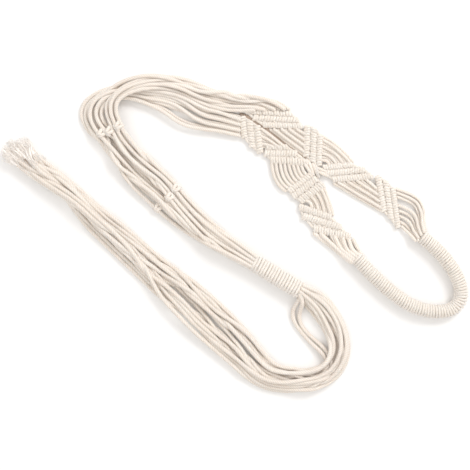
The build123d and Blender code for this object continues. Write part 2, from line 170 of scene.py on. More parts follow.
LOWER_TASSEL = [
    ((53.0, -54.6), (59.2, -45.5), 1.2),
    ((60.6, -64.0), (73.0, -51.3), 0.2),
    ((69.4, -76.4), (85.5, -66.1), 0.0),
    ((75.9, -89.1), (93.4, -83.6), 0.0),
    ((77.4, -99.0), (95.6, -101.6), 0.0),
    ((74.3, -107.1), (88.1, -118.9), 0.0),
    ((66.2, -112.6), (72.8, -129.4), 0.0),
    ((53.9, -114.8), (55.3, -132.4), 0.0),
    ((40.8, -113.9), (38.1, -133.2), 0.0),
    ((31.0, -110.2), (19.4, -129.2), 0.0),
    ((21.7, -98.6), (3.5, -116.5), 0.0),
    ((10.2, -83.9), (-10.2, -104.3), 0.0),
    ((-3.0, -70.3), (-23.9, -92.6), 0.0),
    ((-15.5, -58.6), (-36.6, -80.8), 0.0),
    ((-29.8, -46.0), (-49.2, -67.4), 0.0),
    ((-45.3, -34.4), (-62.2, -54.7), 0.0),
    ((-62.2, -22.8), (-77.2, -40.2), 0.0),
    ((-78.2, -9.0), (-93.1, -25.4), 0.0),
    ((-94.5, 5.4), (-108.8, -10.4), 0.0),
    ((-109.7, 16.6), (-122.5, 3.2), 0.0),
    ((-124.4, 30.8), (-136.0, 18.9), 0.0),
    ((-140.7, 46.5), (-151.6, 33.3), 0.0),
    ((-156.3, 58.7), (-167.9, 42.9), 0.0),
    ((-171.8, 71.5), (-184.4, 55.3), 0.0),
    ((-184.8, 81.9), (-196.2, 65.7), 0.0),
]

# The first two upper cords leave the others for a loop of their own, given by x, y and z
STRAY_JOINS = 8          # the line where they meet the others again
STRAY_TASSEL = [
    [(54.0, -55.3, 8.4), (51.4, -59.6, 6.4), (47.9, -65.8, 3.0), (48.4, -74.4, 1.9), (53.4, -83.4, 1.9),
     (61.2, -91.4, 2.0), (69.2, -98.2, 3.2), (75.4, -104.6, 3.8), (77.6, -112.0, 4.0),
     (74.6, -119.0, 4.4), (67.6, -122.6, 5.0), (59.2, -119.8, 6.0), (50.0, -114.9, 6.8)],
    [(54.7, -53.8, 11.2), (56.9, -57.2, 10.8), (54.6, -64.8, 6.0), (53.4, -72.6, 2.4), (56.8, -81.0, 1.9),
     (64.6, -88.4, 2.2), (73.0, -95.2, 3.6), (79.6, -102.2, 4.0), (81.9, -111.0, 4.2),
     (78.6, -120.0, 4.8), (70.2, -125.6, 5.6), (61.4, -124.6, 6.8), (51.9, -119.0, 7.8)],
]

# Each knot lies across the cords from its first point to its second
SQUARE_KNOTS = {
    "square_knots_upper": [((-113.9, 84.6), (-108.4, 79.2)), ((-107.4, 86.6), (-101.6, 81.0)),
                           ((-99.2, 90.6), (-94.0, 85.2))],
    "square_knots_lower": [((-67.4, 22.8), (-62.0, 17.6)), ((-57.6, 32.4), (-51.4, 26.0)),
                           ((-52.0, 39.0), (-46.6, 33.6))],
}

# How much of a line a group of cords keeps to, where one group crosses over the other
LOWER_CRADLE_SPAN = {6: (0, 0.9), 7: (0, 0.75), 8: (0, 0.7), 9: (0, 0.7), 10: (0, 0.72), 11: (0, 0.85),
                     14: (0.0, 0.85), 15: (0, 0.8), 16: (0, 0.9)}
UPPER_CRADLE_SPAN = {8: (0.06, 1), 9: (0.25, 1.05), 10: (0.42, 1.1), 11: (0.36, 1.08), 12: (0.16, 1),
                     14: (0.12, 1), 15: (0.2, 1.05), 16: (0.15, 1)}
LOWER_TASSEL_SPAN = {12: (0.0, 0.9), 13: (0, 0.8), 14: (0, 0.85), 16: (0.15, 1), 17: (0.2, 1),
                     21: (0, 0.76), 22: (0, 0.7), 23: (0, 0.8)}
UPPER_TASSEL_SPAN = {12: (0.1, 1), 13: (0.2, 1), 14: (0.15, 1), 16: (0, 0.85), 17: (0, 0.8), 18: (0, 0.76),
                     19: (0, 0.7), 20: (0, 0.76), 21: (0.1, 1), 22: (0.18, 1), 23: (0.12, 1)}
# The lift of the upper tassel cords, which lie on the lower ones
TASSEL_LIFT = (6.9, 5.1, 4.6, 4.8, 4.9, 5.1, 5.1, 5.1, 4.7, 3.2, 3.2, 3.2, 3.2, 3.2, 3.2,
               3.2, 3.2, 3.2, 3.8, 5.0, 5.3, 5.0, 4.6, 4.4, 4.4)
TASSEL_CUT = (9.0, 3.0, 0.0, 5.0, 11.0, 2.0, 7.0, 4.0)       # how much shorter some cords are

# The length of each free cord, in metres
CRADLE_LENGTHS = (0.344, 0.333, 0.326, 0.320, 0.313, 0.307, 0.301, 0.296,
                  0.375, 0.364, 0.352, 0.341, 0.330, 0.319, 0.308, 0.298)
TASSEL_LENGTHS = (0.386, 0.398, 0.404, 0.416, 0.416, 0.432, 0.444, 0.451,
                  0.406, 0.419, 0.404, 0.416, 0.416, 0.432, 0.444, 0.451)

rng = random.Random(7)
noise_rng = np.random.default_rng(7)


# Camera: straight above the piece, the picture's up along +Y

CAMERA_PLACE = (0.00048, -0.00167, 0.932)
camera_data = bpy.data.cameras.new("camera")
camera_data.lens = 85
camera_data.sensor_width = 36
camera = bpy.data.objects.new("camera", camera_data)
camera.location = CAMERA_PLACE
bpy.context.scene.collection.objects.link(camera)
bpy.context.scene.camera = camera


# Routes, in metres


def between(start, end, share):
    """The point a given share of the way from start to end."""
    return tuple(a + (b - a) * share for a, b in zip(start, end))


def metres(route):
    """A layout route in millimetres, in the part's frame in metres."""
    return [((x - CENTRE_X) * MM, (y - CENTRE_Y) * MM, z * MM) for x, y, z in route]


def moved_end(route, length, start=True, end=True):
    """The route with its ends pulled in by a length, or let out by a negative one."""
    route = list(route)
    if start:
        route[0] = between(route[0], route[1], length / math.dist(route[0], route[1]))
    if end:
        route[-1] = between(route[-1], route[-2], length / math.dist(route[-1], route[-2]))
    return route


def places(line, count):
    """Where the cords cross a line, evenly unless the line says otherwise."""
    shares = line[3] if len(line) > 3 else [cord / (count - 1) for cord in range(count)]
    return [between(line[0], line[1], share) for share in shares]


def clear_width(rows, index):
    """The least distance between neighbouring cords, square to their run, at one line."""
    widths = []
    for other in (index - 1, index + 1):
        if 0 <= other < len(rows):
            for cord in range(len(rows[index]) - 1):
                here = np.array(rows[index][cord])
                run = np.array(rows[other][cord]) - here
                run = run / np.linalg.norm(run)
                step = np.array(rows[index][cord + 1]) - here
                widths.append(abs(step[0] * run[1] - step[1] * run[0]))
    return min(widths)


def side_by_side(lines, diameter, middles=None, lifts=None, count=CORDS):
    """Routes of cords that cross each line in turn. Where they crowd, every second rides up."""
    rows = [places(line, count) for line in lines]
    routes = [[] for cord in range(count)]
    for index, row in enumerate(rows):
        ride_up = math.sqrt(max(0.0, (diameter + AIR) ** 2 - clear_width(rows, index) ** 2))
        if middles is None:
            low = diameter / 2 + lifts[index]
        else:
            low = max(diameter / 2, middles[index] - ride_up / 2)
        for cord, (x, y) in enumerate(row):
            routes[cord].append((x, y, low + (cord % 2) * ride_up))
    return routes


def spanned(lines, spans):
    """The lines, shortened to the shares that the cords keep to."""
    kept = []
    for index, line in enumerate(lines):
        begin, finish = spans.get(index, (0, 1))
        kept.append((between(line[0], line[1], begin), between(line[0], line[1], finish), *line[2:]))
    return kept


def cradle_routes():
    """Routes of the cradle's sixteen cords, the lower strap's eight first."""
    lower = side_by_side(spanned(LOWER_CRADLE, LOWER_CRADLE_SPAN), CORD_D,
                         lifts=[line[2] for line in LOWER_CRADLE])
    upper = side_by_side(spanned(UPPER_CRADLE, UPPER_CRADLE_SPAN), CORD_D,
                         lifts=[line[2] for line in UPPER_CRADLE])
    return lower + upper


def tassel_routes():
    """Routes of the tassel's sixteen cords, the lower eight first."""
    lower = side_by_side(spanned(LOWER_TASSEL, LOWER_TASSEL_SPAN), CORD_D,
                         lifts=[line[2] for line in LOWER_TASSEL])
    upper = side_by_side(spanned(LOWER_TASSEL, UPPER_TASSEL_SPAN), CORD_D, lifts=TASSEL_LIFT)
    for cord, stray in enumerate(STRAY_TASSEL):
        upper[cord] = stray + upper[cord][STRAY_JOINS:]
    return lower + upper


# Lines, tubes and meshes


def nurbs_line(points):
    """Points read from the NURBS spline that has the given control points, in metres."""
    curve = bpy.data.curves.new("line", "CURVE")
    curve.dimensions = "3D"
    spline = curve.splines.new("NURBS")
    spline.points.add(len(points) - 1)
    for control, point in zip(spline.points, points):
        control.co = (*point, 1.0)
    spline.order_u = 3
    spline.use_endpoint_u = True
    spline.resolution_u = 16
    curve.resolution_u = 16
    holder = bpy.data.objects.new("line", curve)
    mesh = bpy.data.meshes.new_from_object(holder)
    line = np.zeros(len(mesh.vertices) * 3)
    mesh.vertices.foreach_get("co", line)
    bpy.data.objects.remove(holder)
    bpy.data.meshes.remove(mesh)
    bpy.data.curves.remove(curve)
    return line.reshape(-1, 3)


def evenly(line, step):
    """The same line with its points a step apart, and each point's distance along it."""
    gaps = np.linalg.norm(np.diff(line, axis=0), axis=1)
    along = np.concatenate([[0.0], np.cumsum(gaps)])
    at = np.linspace(0.0, along[-1], max(3, int(round(along[-1] / step)) + 1))
    return np.stack([np.interp(at, along, line[:, axis]) for axis in range(3)], 1), at


def slow_noise(length, scale):
    """A smooth random function of distance, from about -1 to 1."""
    count = max(4, int(length / scale) + 4)
    knots = noise_rng.uniform(-1, 1, count)
    spots = (np.arange(count) - 1.5) * scale

    def value(at):
        cell = np.clip(((at - spots[0]) / scale), 0, count - 1.001)
        low = cell.astype(int)
        share = cell - low
        share = share * share * (3 - 2 * share)
        return knots[low] * (1 - share) + knots[low + 1] * share

    return value


def unit(vectors):
    """The vector, or each of the vectors, at a length of one."""
    return vectors / np.linalg.norm(vectors, axis=-1, keepdims=True)


def headings(line):
    """Unit vectors along the line."""
    return unit(np.gradient(line, axis=0))


def level_sides(line):
    """Unit vectors square to the line that lie flat."""
    return unit(np.cross(UP, headings(line)))


def frames(line):
    """Unit vectors along the line and two square to it that don't twist."""
    along = headings(line)
    side = np.zeros_like(line)
    first = np.cross(along[0], UP)
    if np.linalg.norm(first) < 0.1:      # the line sets out nearly upright
        first = np.cross(along[0], (1.0, 0.0, 0.0))
    side[0] = unit(first)
    for index in range(1, len(line)):
        side[index] = unit(side[index - 1] - along[index] * np.dot(side[index - 1], along[index]))
    return along, side, np.cross(along, side)


class Yarn:
    """Collects tubes of twisted strands into one mesh, with what its material reads at each point.

    groove is how deep a point lies between two strands, where the material paints shade; shade
    darkens a whole tube, a little at random for each cord's own tone and more on the seam cords,
    as painted shade; and fibre is a place in millimetres along the cord and round it, for the
    fibres' texture.
    """

    TEXTURE_R = 1.5      # millimetres
    LEAST_END = 0.12     # the squared share of its radius that a tapered end keeps

    def __init__(self):
        self.points = []
        self.faces = []
        self.groove = []
        self.fibre = []
        self.shade = []
        self.size = 0

    def tube(self, line, radius, strands=4, lay=8.0 * MM, sides=16, depth=0.12, taper=0.0,
             squeeze=1.0, shade=0.0):
        """A cord of twisted strands along a line. radius is a number or one for each point."""
        count = len(line)
        along, side, up = frames(line)
        gaps = np.linalg.norm(np.diff(line, axis=0), axis=1)
        at = np.concatenate([[0.0], np.cumsum(gaps)])
        phase = rng.uniform(0, math.tau)
        corner = np.arange(sides) * math.tau / sides
        lobe = np.abs(np.cos(strands * corner / 2)) if strands else np.ones(sides)
        reach = 1 - depth * (1 - lobe)
        radius = np.broadcast_to(np.asarray(radius, float), (count,)).copy()
        ends = np.minimum(at, at[-1] - at)
        if taper:
            radius *= np.sqrt(np.clip(1 - (1 - np.clip(ends / taper, 0, 1)) ** 2, self.LEAST_END, 1))
        turn = corner[None, :] + (phase + at * math.tau / lay)[:, None]
        wide = radius[:, None] * reach[None, :]
        ring = (line[:, None, :]
                + (np.cos(turn) * wide)[..., None] * side[:, None, :]
                + (np.sin(turn) * wide * squeeze)[..., None] * up[:, None, :])
        base = self.size
        self.points.append(ring.reshape(-1, 3))
        rows = np.arange(count - 1)[:, None] * sides
        around = np.arange(sides)[None, :]
        nxt = (around + 1) % sides
        quads = np.stack([rows + around, rows + nxt, rows + sides + nxt, rows + sides + around], -1)
        self.faces.extend((quads.reshape(-1, 4) + base).tolist())
        self.faces.append((np.arange(sides)[::-1] + base).tolist())
        self.faces.append((np.arange(sides) + base + (count - 1) * sides).tolist())
        self.groove.append(np.broadcast_to(1 - lobe, (count, sides)).reshape(-1))
        fibre = np.zeros((count, sides, 3))
        fibre[..., 0] = at[:, None] / MM
        fibre[..., 1] = np.cos(corner)[None, :] * self.TEXTURE_R
        fibre[..., 2] = np.sin(corner)[None, :] * self.TEXTURE_R + rng.uniform(0, 50)
        self.fibre.append(fibre.reshape(-1, 3))
        self.shade.append(np.full(count * sides, shade))
        self.size += count * sides

    def piece(self, name, body, nodes=(), material=None):
        """The collected tubes as an object that rides on a body and stands in for CAD nodes."""
        points = np.concatenate(self.points)
        mesh = bpy.data.meshes.new(name)
        mesh.from_pydata(points.tolist(), [], self.faces)
        for label, kind, data in (("groove", "FLOAT", self.groove), ("shade", "FLOAT", self.shade),
                                  ("fibre", "FLOAT_VECTOR", self.fibre)):
            layer = mesh.attributes.new(label, kind, "POINT")
            values = np.concatenate(data).astype(np.float32).ravel()
            layer.data.foreach_set("vector" if kind == "FLOAT_VECTOR" else "value", values)
        mesh.polygons.foreach_set("use_smooth", [True] * len(mesh.polygons))
        mesh.materials.append(material or cotton)
        mesh.update()
        obj = bpy.data.objects.new(name, mesh)
        bpy.context.scene.collection.objects.link(obj)
        if body:
            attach(obj, body)
        if nodes:
            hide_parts(*nodes)
        return obj


# Materials


# The emission is a painted glow, no lamp: it lifts the cotton's brightness a little, and the frayed fibres'
# more
SHADER_SETTINGS = {"Roughness": 0.88, "Specular IOR Level": 0.25, "Sheen Weight": 0.25,
                   "Sheen Roughness": 0.6, "Subsurface Weight": 0.45,
                   "Subsurface Radius": (1.0, 0.93, 0.86), "Subsurface Scale": 0.0016,
                   "Emission Color": (1.0, 0.90, 0.82, 1)}
# Painted shade: the warm dark colour that the grooves between strands and the shaded cords are multiplied
# towards
PAINTED_SHADE_COLOUR = (0.70, 0.57, 0.47, 1)


def set_inputs(node, settings):
    for name, value in settings.items():
        node.inputs[name].default_value = value


def cotton_material(name, light, dark, groove_shade_share, painted_glow):
    """Matte twisted cotton, uneven in tone, with fibres along the strands. Painted shade makes it
    warmer and darker in its grooves and on shaded cords, and its faint glow is painted light.
    """
    material = bpy.data.materials.new(name)
    material.use_nodes = True
    nodes = material.node_tree.nodes
    links = material.node_tree.links
    shader = nodes["Principled BSDF"]
    set_inputs(shader, SHADER_SETTINGS | {"Emission Strength": painted_glow})

    def added(kind, settings):
        node = nodes.new(kind)
        set_inputs(node, settings)
        return node

    def attribute(label):
        node = nodes.new("ShaderNodeAttribute")
        node.attribute_name = label
        return node

    # Patches of two tones
    place = nodes.new("ShaderNodeTexCoord")
    patches = added("ShaderNodeTexNoise", {"Scale": 26.0, "Detail": 3.0})
    links.new(place.outputs["Object"], patches.inputs["Vector"])
    tone = nodes.new("ShaderNodeValToRGB")
    for element, position, colour in zip(tone.color_ramp.elements, (0.32, 0.62), (dark, light)):
        element.position = position
        element.color = (*colour, 1)
    links.new(patches.outputs["Fac"], tone.inputs["Fac"])

    # Streaks along the fibres
    stretch = added("ShaderNodeMapping", {"Scale": (0.35, 2.6, 2.6)})
    links.new(attribute("fibre").outputs["Vector"], stretch.inputs["Vector"])
    threads = added("ShaderNodeTexNoise", {"Scale": 2.2, "Detail": 6.0, "Roughness": 0.62})
    links.new(stretch.outputs["Vector"], threads.inputs["Vector"])
    streaks = added("ShaderNodeMapRange",
                    {"From Min": 0.3, "From Max": 0.7, "To Min": 0.87, "To Max": 1.03})
    links.new(threads.outputs["Fac"], streaks.inputs["Value"])
    streaked = nodes.new("ShaderNodeVectorMath")
    streaked.operation = "SCALE"
    links.new(tone.outputs["Color"], streaked.inputs[0])
    links.new(streaks.outputs["Result"], streaked.inputs["Scale"])

    # Painted shade: warmer and darker in the grooves between strands and on cords given a shade; the small
    # random shades are each cord's own tone
    depth = nodes.new("ShaderNodeMath")
    depth.operation = "MULTIPLY_ADD"
    depth.inputs[1].default_value = groove_shade_share
    links.new(attribute("groove").outputs["Fac"], depth.inputs[0])
    links.new(attribute("shade").outputs["Fac"], depth.inputs[2])
    mix = nodes.new("ShaderNodeMix")
    mix.data_type = "RGBA"
    mix.blend_type = "MULTIPLY"
    mix.inputs["B"].default_value = PAINTED_SHADE_COLOUR
    links.new(depth.outputs["Value"], mix.inputs["Factor"])
    links.new(streaked.outputs["Vector"], mix.inputs["A"])
    links.new(mix.outputs["Result"], shader.inputs["Base Color"])

    bump = added("ShaderNodeBump", {"Strength": 0.55, "Distance": 0.0004})
    links.new(threads.outputs["Fac"], bump.inputs["Height"])
    links.new(bump.outputs["Normal"], shader.inputs["Normal"])
    return material


cotton = cotton_material("cotton_cord", (0.955, 0.900, 0.834), (0.93, 0.866, 0.788), 0.42, 0.045)
# A darker copy of the cotton without glow: painted shade for the cords at the bottom of the seam
cotton_shade = cotton_material("cotton_shade", (0.72, 0.63, 0.57), (0.64, 0.55, 0.48), 0.30, 0.0)
# The frayed ends' fibres: a lighter copy of the cotton with a stronger glow, painted light against the shade
# among the fibres
cotton_fibre = cotton_material("cotton_fibre", (0.965, 0.92, 0.87), (0.94, 0.885, 0.825), 0.0, 0.17)


# The free cords

STEP = 1.0 * MM          # between the points of a finished line
COARSE = 2.0 * MM        # between the points that settle against each other
CRADLE_R = 1.80 * MM
TASSEL_R = 1.88 * MM
CRADLE_SWAY = 6.5 * MM   # from side to side
TASSEL_SWAY = 9.0 * MM
STRAY_SWAY = 0.6 * MM
SWAY_SCALE = 56 * MM
LIFT = 4.8 * MM          # the cords' unevenness in height before they settle
LIFT_SCALE = 46 * MM
LIFT_BIAS = 0.6
CALM_LENGTH = 30 * MM    # over which a pinned end comes free

STRIP_SLACK = 0.3 * MM   # how far a cord may leave the strip of its bundle
CONTACT = 3.05 * MM      # between the middles of two cords that press together
SINK = 0.055 * MM        # down in each round
PUSH = 0.30              # the share of an overlap that each of two cords gives way in a round
PUSH_UP = 1.6            # how much more easily they give way up and down
LARGEST_PUSH = 0.8 * MM
TETHER = 0.990           # the share of its side shift that a point keeps in a round
PULL_IN = 0.5            # the share of its way out of the strip that it is pulled back
SMOOTHING = 0.45
LAST_ROUNDS = 4          # in which the cords are smoothed more
LOOK_AGAIN = 10          # rounds between two searches for neighbours


class Lay:
    """One free cord as it settles: its spline, and how far each of its points has moved.

    pins are the lengths at its start and its end that stay put before it comes free.
    """

    def __init__(self, name, node, route, length, far_end, radius, sway, pins):
        self.name, self.node, self.length, self.far_end = name, node, length, far_end
        self.radius = radius
        self.route = metres(route)
        self.spline = nurbs_line(self.route)
        self.rest, self.at = evenly(self.spline, COARSE)
        calm_start = np.clip((self.at - pins[0]) / CALM_LENGTH, 0, 1)
        calm_end = np.clip((self.at[-1] - self.at - pins[1]) / CALM_LENGTH, 0, 1)
        self.free = calm_start * calm_end
        sideways = slow_noise(self.at[-1], SWAY_SCALE)(self.at) * sway
        upwards = (slow_noise(self.at[-1], LIFT_SCALE)(self.at) + LIFT_BIAS) * LIFT
        self.moved = level_sides(self.rest) * (sideways * self.free)[:, None]
        self.moved[:, 2] += upwards * self.free

    def line(self):
        """The settled cord, its points a step apart."""
        fine, at = evenly(self.spline, STEP)
        shift = np.stack([np.interp(at, self.at, self.moved[:, axis]) for axis in range(3)], 1)
        fine = fine + shift
        fine[:, 2] = np.maximum(fine[:, 2], self.radius)
        return fine


def bound(cords, first, last):
    """Note, for each point of the cords, the strip between the routes of two outer cords."""
    for cord in cords:
        edges = []
        for outer in (first, last):
            gaps = np.linalg.norm(outer.rest[None, :, :2] - cord.rest[:, None, :2], axis=2)
            edges.append(outer.rest[gaps.argmin(axis=1), :2])
        run = edges[1] - edges[0]
        cord.strip_width = np.linalg.norm(run, axis=1)
        cord.strip_run = run / cord.strip_width[:, None]
        cord.strip_start = edges[0]


def widen(cord, before, after):
    """Widen a cord's strip by a length, or one for each point, before its start and after its end."""
    cord.strip_start = cord.strip_start - np.reshape(before, (-1, 1)) * cord.strip_run
    cord.strip_width = cord.strip_width + before + after


def neighbours(place, owner):
    """The pairs of points, on two cords, that may touch within the next rounds."""
    tree = KDTree(len(place))
    for index, point in enumerate(place):
        tree.insert(point, index)
    tree.balance()
    return np.array([(index, other) for index, point in enumerate(place)
                     for _, other, _ in tree.find_range(point, 2.0 * CONTACT)
                     if other > index and owner[other] != owner[index]])


def settle(cords, rounds=70):
    """Let the cords sink and press each other apart, each a little tied to its own route."""
    width = np.concatenate([cord.strip_width for cord in cords])
    run = np.concatenate([cord.strip_run for cord in cords])
    edge = np.concatenate([cord.strip_start for cord in cords])
    rest = np.concatenate([cord.rest for cord in cords])
    moved = np.concatenate([cord.moved for cord in cords])
    free = np.concatenate([cord.free for cord in cords])[:, None]
    floor_z = np.concatenate([np.full(len(cord.rest), cord.radius) for cord in cords])
    owner = np.concatenate([np.full(len(cord.rest), index) for index, cord in enumerate(cords)])
    starts = np.cumsum([0] + [len(cord.rest) for cord in cords])
    inner = np.setdiff1d(np.arange(len(rest)), np.concatenate([starts[:-1], starts[1:] - 1]))
    for turn in range(rounds):
        place = rest + moved
        if turn % LOOK_AGAIN == 0:
            near = neighbours(place, owner)
        gap = place[near[:, 0]] - place[near[:, 1]]
        distance = np.linalg.norm(gap, axis=1)
        hit = distance < CONTACT
        gap, distance = gap[hit], np.maximum(distance[hit], 0.05 * MM)
        gap[:, 2] *= PUSH_UP
        push = gap * (PUSH * (CONTACT - distance) / distance)[:, None]
        shove = np.zeros_like(moved)
        np.add.at(shove, near[hit, 0], push)
        np.add.at(shove, near[hit, 1], -push)
        size = np.linalg.norm(shove, axis=1)
        shove *= np.minimum(1, LARGEST_PUSH / np.maximum(size, 1e-9))[:, None]
        moved += shove * free
        moved[:, 2] -= SINK * free[:, 0]
        moved[:, :2] *= TETHER
        across = (((rest + moved)[:, :2] - edge) * run).sum(axis=1)
        outside = across - np.clip(across, -STRIP_SLACK, width + STRIP_SLACK)
        moved[:, :2] -= PULL_IN * outside[:, None] * run * free
        for again in range(1 if turn < rounds - LAST_ROUNDS else 6):
            smooth = moved.copy()
            smooth[inner] += SMOOTHING * ((moved[inner - 1] + moved[inner + 1]) / 2 - moved[inner])
            moved = smooth
        moved[:, 2] = np.maximum(moved[:, 2], floor_z - rest[:, 2])
    for index, cord in enumerate(cords):
        cord.moved = moved[starts[index]:starts[index + 1]]


def twisted(lay, cut):
    line = lay.line()
    if cut:
        line = line[: -int(round(cut / STEP))]
    yarn = Yarn()
    at = np.arange(len(line)) * STEP
    body = lay.radius * (1 + 0.05 * slow_noise(at[-1], 9 * MM)(at))
    yarn.tube(line, body, taper=1.2 * MM, shade=rng.uniform(0, 0.10))
    cord = yarn.piece(lay.name, "planter", [lay.node])
    facts = dict(exit=lay.route[0], length=lay.length, diameter=CORD_D * MM, far_end=lay.far_end,
                 stiffness="limp", lay="loose", path=line.tolist())
    return cord, line, facts


BAND_REACH = 1.5         # millimetres that a cord reaches into the band that it leaves
WRAP_REACH = 3.5         # and into the gathering wrap
CRADLE_PINS = (8 * MM, 10 * MM)
TASSEL_PINS = (10 * MM, -CALM_LENGTH)    # a tassel cord's far end is free
cradle = []
for number, route in enumerate(cradle_routes(), 1):
    route = moved_end(moved_end(route, -BAND_REACH, end=False), -WRAP_REACH, start=False)
    cradle.append(Lay(f"loose_cord_{number:02d}", f"cradle_cord_{number:02d}", route,
                      CRADLE_LENGTHS[number - 1], "object", CRADLE_R, CRADLE_SWAY, CRADLE_PINS))
tassel = []
for number, route in enumerate(tassel_routes(), 1):
    cut = TASSEL_CUT[(3 * (number - 1)) % len(TASSEL_CUT)]
    if cut:
        route = moved_end(route, cut, start=False)
    route = moved_end(route, -WRAP_REACH, end=False)
    sway = STRAY_SWAY if 0 < number - CORDS <= len(STRAY_TASSEL) else TASSEL_SWAY
    tassel.append(Lay(f"tassel_yarn_{number:02d}", f"tassel_cord_{number:02d}", route,
                      TASSEL_LENGTHS[number - 1], "bare", TASSEL_R, sway, TASSEL_PINS))
strays = tassel[CORDS:CORDS + len(STRAY_TASSEL)]
upper_tassel = tassel[CORDS + len(STRAY_TASSEL):]
for bundle in (cradle[:CORDS], cradle[CORDS:], tassel[:CORDS]):
    bound(bundle, bundle[0], bundle[-1])
bound(strays + upper_tassel, upper_tassel[0], upper_tassel[-1])
for lay in tassel:
    # The tassel draws in over its last stretch
    draw_in = 3.0 * MM * np.clip(1 - (lay.at[-1] - lay.at) / (90 * MM), 0, 1) ** 0.7
    widen(lay, -draw_in, -draw_in)
for lay in strays:
    widen(lay, 20 * MM, 20 * MM)
for lay in upper_tassel:
    widen(lay, 4.5 * MM, 0)
settle(cradle)
settle(tassel)

for lay in cradle:
    cord, line, facts = twisted(lay, 0.0)


FRAY_STRANDS = 5
FRAY_FIBRES = 18         # on each strand
LOOSE_FIBRES = 14        # on the side of the cord, before its end
FRAYED_LENGTH = 15 * MM  # of the cord, taken up by its brush


def fray(name, line, radius):
    """A tassel cord's end: its strands come apart and open into a soft brush of fibres."""
    tip = line[-1]
    heading = unit(line[-1] - line[-8])
    flat = unit(np.cross(UP, heading))
    rise = np.cross(heading, flat)
    share = np.linspace(0, 1, 12)[:, None]
    yarn = Yarn()
    for strand in range(FRAY_STRANDS):
        turn = strand * math.tau / FRAY_STRANDS + rng.uniform(-0.3, 0.3)
        reach = rng.uniform(8, 16) * MM
        spread = rng.uniform(1.2, 5.0) * MM
        swirl = turn + share * rng.uniform(0.6, 1.8)
        out = flat * np.cos(swirl) + rise * np.sin(swirl)
        path = (tip + heading * (reach * share - 1.5 * MM)
                + out * (radius * 0.42 + spread * share**1.4))
        path[:, 2] = np.clip(path[:, 2], 0.9 * MM, 12.4 * MM)
        width = radius * np.linspace(0.5, 0.40, 12)
        yarn.tube(path, width, strands=3, lay=6 * MM, sides=9, taper=0.6 * MM, shade=rng.uniform(0, 0.1))
        for fibre in range(FRAY_FIBRES):
            begin = rng.uniform(0.1, 1.0)
            root = tip + (path[-1] - tip) * begin
            veer = unit(flat * rng.gauss(0, 0.58) + rise * rng.gauss(0, 0.30) + heading
                        + (path[-1] - path[-3]) / MM * 0.18)
            curl = (flat * rng.uniform(-1, 1) + rise * rng.uniform(-1, 1)) * 1.1 * MM
            length = rng.uniform(3.0, 6.5) * MM
            strand_share = share[::2]
            wisp = root + veer * length * strand_share + curl * np.sin(strand_share * 4.2)
            wisp[:, 2] = np.clip(wisp[:, 2], 0.3 * MM, 12.6 * MM)
            yarn.tube(wisp, np.linspace(0.42, 0.18, len(wisp)) * MM, strands=0, sides=4, depth=0.0,
                      shade=rng.uniform(0, 0.08))
    short = np.linspace(0, 1, 6)[:, None]
    for fibre in range(LOOSE_FIBRES):
        turn = rng.uniform(0, math.tau)
        out = flat * math.cos(turn) + rise * math.sin(turn)
        root = line[-1 - int(rng.uniform(0, 14))] + out * radius * 0.85
        wisp = (root + heading * rng.uniform(5.0, 10.0) * MM * short
                + out * rng.uniform(0.2, 2.4) * MM * short**1.5
                + flat * rng.uniform(-0.8, 0.8) * MM * np.sin(short * 5.0))
        wisp[:, 2] = np.clip(wisp[:, 2], 0.4 * MM, 12.8 * MM)
        yarn.tube(wisp, np.linspace(0.42, 0.24, len(wisp)) * MM, strands=0, sides=4, depth=0.0,
                  shade=rng.uniform(0, 0.08))
    return yarn.piece(name, "planter", material=cotton_fibre)


for number, lay in enumerate(tassel, 1):
    cord, line, facts = twisted(lay, FRAYED_LENGTH)
    tuft = fray(f"frayed_end_{number:02d}", line, lay.radius)


# The knotted straps


def flat_point(point, z):
    """A layout point at a height in millimetres, in the part's frame in metres."""
    return np.array(metres([(*point, z)])[0])


HITCH_Z = 2.5            # middle of a row of hitches, which rest on the floor


def knot_count(length):
    """Knots along a ridge: one for each cord, fewer where the ridge is short."""
    return max(4, min(CORDS, int(round(length / (4.1 * MM)))))


def hitch_ridge(yarn, start, end, half_width, lean):
    """Double half hitches in a row: each knot is two turns of its cord about the holding cord."""
    start = flat_point(start, HITCH_Z)
    end = flat_point(end, HITCH_Z)
    length = np.linalg.norm(end - start)
    run = unit(end - start)
    flat = np.cross(UP, run)
    hold = np.linspace(start - run * 1.5 * MM, end + run * 1.5 * MM, 30)
    yarn.tube(hold, 1.35 * MM, taper=1.0 * MM)
    count = knot_count(length)
    pitch = (length + 1.6 * MM) / count
    thick = min(1.45 * MM, 0.35 * pitch)
    tall = HITCH_Z * MM - thick
    for knot in range(count):
        middle = start + run * (pitch * (knot + 0.5) - 0.8 * MM)
        for offset in (-0.22, 0.22):
            angle = np.linspace(-math.pi * 0.97, math.pi * 0.97, 24)
            slide = (offset * pitch + lean * 0.45 * MM * np.sin(angle + 0.4)
                     + rng.uniform(-0.08, 0.08) * MM)
            wide = (half_width - thick) * (1 + rng.uniform(-0.04, 0.04))
            path = (middle + run * slide[:, None]
                    + flat * (np.sin(angle) * wide)[:, None]
                    + UP * (np.cos(angle) * tall)[:, None])
            yarn.tube(path, thick, strands=3, lay=6 * MM, sides=9, depth=0.12,
                      shade=rng.uniform(0, 0.10))


def ridge_spacing(first, second):
    """The distance between two neighbouring ridges, square to the first."""
    a, b = (np.array(point) for point in first)
    run = unit(b - a)
    step = (np.array(second[0]) + np.array(second[1]) - a - b) / 2
    return abs(step[0] * run[1] - step[1] * run[0]) * MM


